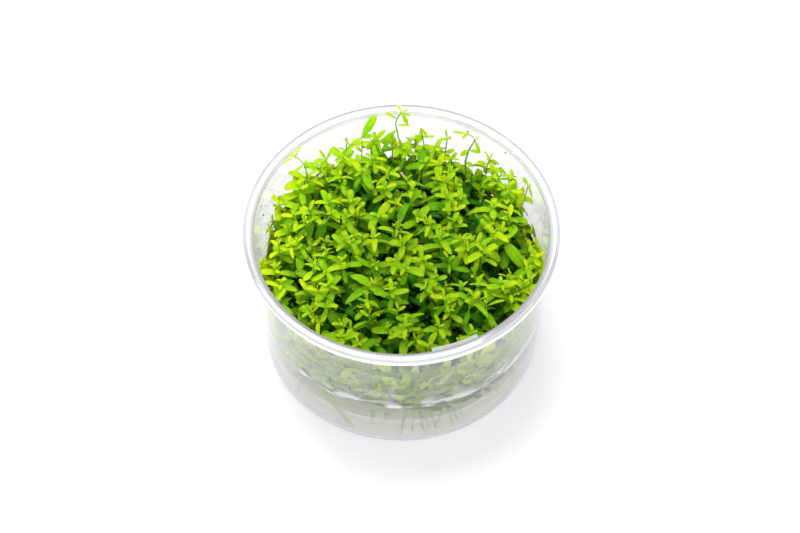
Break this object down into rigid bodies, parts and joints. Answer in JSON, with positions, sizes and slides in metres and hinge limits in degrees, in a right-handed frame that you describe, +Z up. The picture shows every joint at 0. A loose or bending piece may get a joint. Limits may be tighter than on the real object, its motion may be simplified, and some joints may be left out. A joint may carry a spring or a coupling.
{
  "type": "tissue culture pearl weed in a clear cup",
  "caption": "Round clear cup with a flanged rim, part filled with nutrient gel and packed wall to wall with small-leaved aquarium plantlets.",
  "frame": {"origin": "middle of the foot ring, on the surface that the cup stands on", "axes": "+Z up, -Y the side that faces the viewer in the picture"},
  "size_m": [0.1, 0.1, 0.0629],
  "materials": {
    "clear_plastic": "clear gloss",
    "gel": "clear, slightly cloudy",
    "leaf": "satin"
  },
  "bodies": {
    "root": {"cup": "clear_plastic", "gel": "gel", "plantlet_01": "leaf", "plantlet_02": "leaf", "plantlet_03": "leaf", "plantlet_04": "leaf", "plantlet_05": "leaf", "plantlet_06": "leaf", "plantlet_07": "leaf", "plantlet_08": "leaf", "plantlet_09": "leaf", "plantlet_10": "leaf", "plantlet_11": "leaf", "plantlet_12": "leaf", "plantlet_13": "leaf", "plantlet_14": "leaf", "plantlet_15": "leaf", "plantlet_16": "leaf", "plantlet_17": "leaf", "plantlet_18": "leaf", "plantlet_19": "leaf", "plantlet_20": "leaf", "plantlet_21": "leaf", "plantlet_22": "leaf", "plantlet_23": "leaf", "plantlet_24": "leaf", "plantlet_25": "leaf", "plantlet_26": "leaf", "plantlet_27": "leaf", "plantlet_28": "leaf", "plantlet_29": "leaf", "plantlet_30": "leaf", "plantlet_31": "leaf", "plantlet_32": "leaf", "plantlet_33": "leaf", "plantlet_34": "leaf", "plantlet_35": "leaf", "plantlet_36": "leaf", "plantlet_37": "leaf", "plantlet_38": "leaf", "plantlet_39": "leaf", "plantlet_40": "leaf", "plantlet_41": "leaf", "plantlet_42": "leaf", "plantlet_43": "leaf", "plantlet_44": "leaf"}
  },
  "joints": []
}
